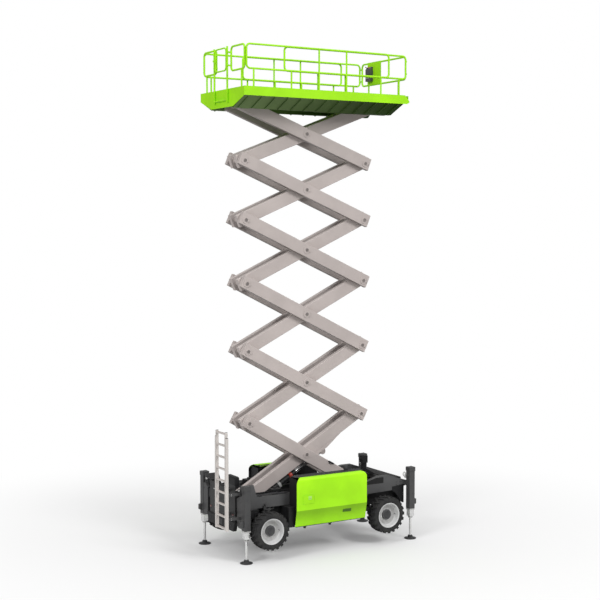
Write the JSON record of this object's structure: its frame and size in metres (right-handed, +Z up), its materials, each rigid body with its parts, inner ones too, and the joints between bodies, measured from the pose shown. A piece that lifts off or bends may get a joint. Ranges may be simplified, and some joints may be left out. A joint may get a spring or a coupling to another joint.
{
  "type": "rough-terrain scissor lift",
  "caption": "Rough-terrain scissor lift on outrigger jacks, with a tall scissor stack raising a railed platform with a sliding extension deck.",
  "frame": {"origin": "on the ground, in the lengthwise centre plane, midway between the machine's front and rear ends", "axes": "+X towards the steered front axle, +Y to the left of a driver facing forward, +Z up"},
  "size_m": [4.6785, 2.396, 10.592],
  "materials": {
    "chassis_paint": "satin dark grey paint",
    "axle_paint": "satin dark grey paint",
    "module_paint": "satin charcoal paint",
    "cover_dark": "satin charcoal paint",
    "arm_paint": "satin warm light grey paint",
    "deck_paint": "gloss lime green paint",
    "underframe": "satin dark green paint",
    "lime_paint": "gloss lime green paint",
    "rim_paint": "satin off-white paint",
    "chrome": "polished",
    "tyre": "matt",
    "pad_rubber": "dark painted",
    "control_grey": "matt dark grey"
  },
  "bodies": {
    "chassis": {"frame": "chassis_paint", "rear_end": "chassis_paint", "jack_housings": "chassis_paint", "rear_axle": "axle_paint", "front_axle": "axle_paint", "module_right": "module_paint", "module_left": "module_paint", "front_cover": "cover_dark", "ladder": "arm_paint", "stack_rest": "chassis_paint"},
    "inner_arm_1": {"inner_arm_1": "arm_paint"},
    "outer_arm_1": {"outer_arm_1": "arm_paint"},
    "inner_arm_2": {"inner_arm_2": "arm_paint"},
    "outer_arm_2": {"outer_arm_2": "arm_paint"},
    "inner_arm_3": {"inner_arm_3": "arm_paint"},
    "outer_arm_3": {"outer_arm_3": "arm_paint"},
    "inner_arm_4": {"inner_arm_4": "arm_paint"},
    "outer_arm_4": {"outer_arm_4": "arm_paint"},
    "inner_arm_5": {"inner_arm_5": "arm_paint"},
    "outer_arm_5": {"outer_arm_5": "arm_paint"},
    "inner_arm_6": {"inner_arm_6": "arm_paint"},
    "outer_arm_6": {"outer_arm_6": "arm_paint"},
    "platform": {"deck_frame": "underframe", "deck": "deck_paint", "guard_rails": "deck_paint"},
    "gate": {"gate": "deck_paint"},
    "extension": {"extension_deck": "deck_paint", "extension_rails": "deck_paint", "control_panel": "deck_paint", "control_box": "control_grey"},
    "lift_barrel": {"lift_barrel": "chassis_paint"},
    "lift_rod": {"lift_rod": "chrome"},
    "knuckle_right": {"knuckle_right": "axle_paint"},
    "knuckle_left": {"knuckle_left": "axle_paint"},
    "wheel_rear_right": {"tyre_rear_right": "tyre", "rim_rear_right": "rim_paint"},
    "wheel_rear_left": {"tyre_rear_left": "tyre", "rim_rear_left": "rim_paint"},
    "wheel_front_right": {"tyre_front_right": "tyre", "rim_front_right": "rim_paint"},
    "wheel_front_left": {"tyre_front_left": "tyre", "rim_front_left": "rim_paint"},
    "jack_rear_right": {"jack_leg_rear_right": "chrome", "jack_pad_rear_right": "pad_rubber"},
    "jack_rear_left": {"jack_leg_rear_left": "chrome", "jack_pad_rear_left": "pad_rubber"},
    "jack_front_right": {"jack_leg_front_right": "chrome", "jack_pad_front_right": "pad_rubber"},
    "jack_front_left": {"jack_leg_front_left": "chrome", "jack_pad_front_left": "pad_rubber"},
    "cover_right": {"cover_right": "lime_paint"},
    "cover_left": {"cover_left": "lime_paint"}
  },
  "joints": [
    {"name": "scissor", "type": "hinge", "parent": "chassis", "child": "inner_arm_1", "pos_m": [-1.43735, 0, 1.158], "axis": [0, -1, 0], "range_deg": [-15.5, 37]},
    {"name": "centre_pin_1", "type": "hinge", "parent": "inner_arm_1", "child": "outer_arm_1", "pos_m": [-0.06, 0, 1.98629], "axis": [0, -1, 0], "range_deg": [-74.5, 31.5]},
    {"name": "end_pin_2", "type": "hinge", "parent": "outer_arm_1", "child": "inner_arm_2", "pos_m": [-1.46381, 0, 2.76889], "axis": [0, -1, 0], "range_deg": [-31.5, 74.5]},
    {"name": "centre_pin_2", "type": "hinge", "parent": "inner_arm_2", "child": "outer_arm_2", "pos_m": [-0.06, 0, 3.55148], "axis": [0, -1, 0], "range_deg": [-74.5, 31.5]},
    {"name": "end_pin_3", "type": "hinge", "parent": "outer_arm_2", "child": "inner_arm_3", "pos_m": [-1.48876, 0, 4.28755], "axis": [0, -1, 0], "range_deg": [-31.5, 74.5]},
    {"name": "centre_pin_3", "type": "hinge", "parent": "inner_arm_3", "child": "outer_arm_3", "pos_m": [-0.06, 0, 5.02361], "axis": [0, -1, 0], "range_deg": [-74.5, 31.5]},
    {"name": "end_pin_4", "type": "hinge", "parent": "outer_arm_3", "child": "inner_arm_4", "pos_m": [-1.51217, 0, 5.71235], "axis": [0, -1, 0], "range_deg": [-31.5, 74.5]},
    {"name": "centre_pin_4", "type": "hinge", "parent": "inner_arm_4", "child": "outer_arm_4", "pos_m": [-0.06, 0, 6.40108], "axis": [0, -1, 0], "range_deg": [-74.5, 31.5]},
    {"name": "end_pin_5", "type": "hinge", "parent": "outer_arm_4", "child": "inner_arm_5", "pos_m": [-1.53401, 0, 7.04175], "axis": [0, -1, 0], "range_deg": [-31.5, 74.5]},
    {"name": "centre_pin_5", "type": "hinge", "parent": "inner_arm_5", "child": "outer_arm_5", "pos_m": [-0.06, 0, 7.68241], "axis": [0, -1, 0], "range_deg": [-74.5, 31.5]},
    {"name": "end_pin_6", "type": "hinge", "parent": "outer_arm_5", "child": "inner_arm_6", "pos_m": [-1.55425, 0, 8.27431], "axis": [0, -1, 0], "range_deg": [-31.5, 74.5]},
    {"name": "centre_pin_6", "type": "hinge", "parent": "inner_arm_6", "child": "outer_arm_6", "pos_m": [-0.06, 0, 8.86621], "axis": [0, -1, 0], "range_deg": [-74.5, 31.5]},
    {"name": "platform_pin", "type": "hinge", "parent": "outer_arm_6", "child": "platform", "pos_m": [-1.57289, 0, 9.40871], "axis": [0, -1, 0], "range_deg": [-15.6, 37.1]},
    {"name": "gate_hinge", "type": "hinge", "parent": "platform", "child": "gate", "pos_m": [-1.9523, -0.2595, 10.21501], "axis": [0, 0, -1], "range_deg": [0, 85]},
    {"name": "extension_slide", "type": "slide", "parent": "platform", "child": "extension", "axis": [1, 0, 0], "range_m": [0, 1.4]},
    {"name": "barrel_pin", "type": "hinge", "parent": "chassis", "child": "lift_barrel", "pos_m": [-1.21005, 0, 0.97], "axis": [0, -1, 0], "range_deg": [-16.5, 39]},
    {"name": "lift_stroke", "type": "slide", "parent": "lift_barrel", "child": "lift_rod", "axis": [0.862, 0, 0.507], "range_m": [-0.08, 0.19]},
    {"name": "steering_right", "type": "hinge", "parent": "chassis", "child": "knuckle_right", "pos_m": [1.499, -0.815, 0.645], "axis": [0, 0, 1], "range_deg": [-30, 30]},
    {"name": "steering_left", "type": "hinge", "parent": "chassis", "child": "knuckle_left", "pos_m": [1.499, 0.815, 0.645], "axis": [0, 0, 1], "range_deg": [-30, 30]},
    {"name": "rear_right_wheel", "type": "hinge", "parent": "chassis", "child": "wheel_rear_right", "pos_m": [-1.405, -1.048, 0.645], "axis": [0, 1, 0], "continuous": true},
    {"name": "rear_left_wheel", "type": "hinge", "parent": "chassis", "child": "wheel_rear_left", "pos_m": [-1.405, 1.048, 0.645], "axis": [0, 1, 0], "continuous": true},
    {"name": "front_right_wheel", "type": "hinge", "parent": "knuckle_right", "child": "wheel_front_right", "pos_m": [1.499, -1.048, 0.645], "axis": [0, 1, 0], "continuous": true},
    {"name": "front_left_wheel", "type": "hinge", "parent": "knuckle_left", "child": "wheel_front_left", "pos_m": [1.499, 1.048, 0.645], "axis": [0, 1, 0], "continuous": true},
    {"name": "jack_rear_right", "type": "slide", "parent": "chassis", "child": "jack_rear_right", "axis": [0, 0, 1], "range_m": [-0.1, 0.36]},
    {"name": "jack_rear_left", "type": "slide", "parent": "chassis", "child": "jack_rear_left", "axis": [0, 0, 1], "range_m": [-0.1, 0.36]},
    {"name": "jack_front_right", "type": "slide", "parent": "chassis", "child": "jack_front_right", "axis": [0, 0, 1], "range_m": [-0.1, 0.36]},
    {"name": "jack_front_left", "type": "slide", "parent": "chassis", "child": "jack_front_left", "axis": [0, 0, 1], "range_m": [-0.1, 0.36]},
    {"name": "cover_right_hinge", "type": "hinge", "parent": "chassis", "child": "cover_right", "pos_m": [0, -0.838, 1.668], "axis": [-1, 0, 0], "range_deg": [0, 75]},
    {"name": "cover_left_hinge", "type": "hinge", "parent": "chassis", "child": "cover_left", "pos_m": [0, 0.838, 1.578], "axis": [1, 0, 0], "range_deg": [0, 75]}
  ],
  "couplings": [
    {"joint": "centre_pin_1", "follows": "scissor", "ratio": -2},
    {"joint": "end_pin_2", "follows": "scissor", "ratio": 2},
    {"joint": "centre_pin_2", "follows": "scissor", "ratio": -2},
    {"joint": "end_pin_3", "follows": "scissor", "ratio": 2},
    {"joint": "centre_pin_3", "follows": "scissor", "ratio": -2},
    {"joint": "end_pin_4", "follows": "scissor", "ratio": 2},
    {"joint": "centre_pin_4", "follows": "scissor", "ratio": -2},
    {"joint": "end_pin_5", "follows": "scissor", "ratio": 2},
    {"joint": "centre_pin_5", "follows": "scissor", "ratio": -2},
    {"joint": "end_pin_6", "follows": "scissor", "ratio": 2},
    {"joint": "centre_pin_6", "follows": "scissor", "ratio": -2},
    {"joint": "platform_pin", "follows": "scissor", "ratio": 1},
    {"joint": "barrel_pin", "follows": "scissor", "ratio": 1.03},
    {"joint": "lift_stroke", "follows": "scissor", "m_per_rad": 0.28},
    {"joint": "steering_left", "follows": "steering_right", "ratio": 1}
  ]
}
